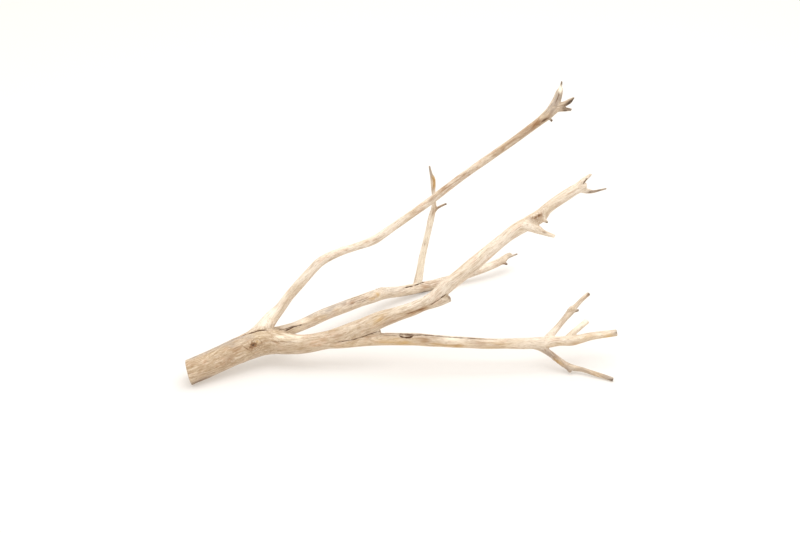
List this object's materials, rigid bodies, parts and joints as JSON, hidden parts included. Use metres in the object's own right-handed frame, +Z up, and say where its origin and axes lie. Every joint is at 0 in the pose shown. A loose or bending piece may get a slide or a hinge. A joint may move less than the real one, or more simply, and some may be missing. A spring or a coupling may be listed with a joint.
{
  "type": "piece of driftwood",
  "caption": "Forked piece of bare, weathered driftwood with its thick end sawn off. It lies on a surface, with the upper limbs rising from the fork.",
  "frame": {"origin": "on the surface that the branch lies on, under the middle of its bounding box", "axes": "+X along the branch, from the sawn thick end to the twig tips; +Y away from the front, towards the tip of the back limb; +Z up"},
  "size_m": [0.611, 0.3522, 0.3904],
  "materials": {
    "weathered_wood": "bare, bleached and worn smooth, matte"
  },
  "bodies": {
    "root": {"driftwood": "weathered_wood"}
  },
  "joints": []
}
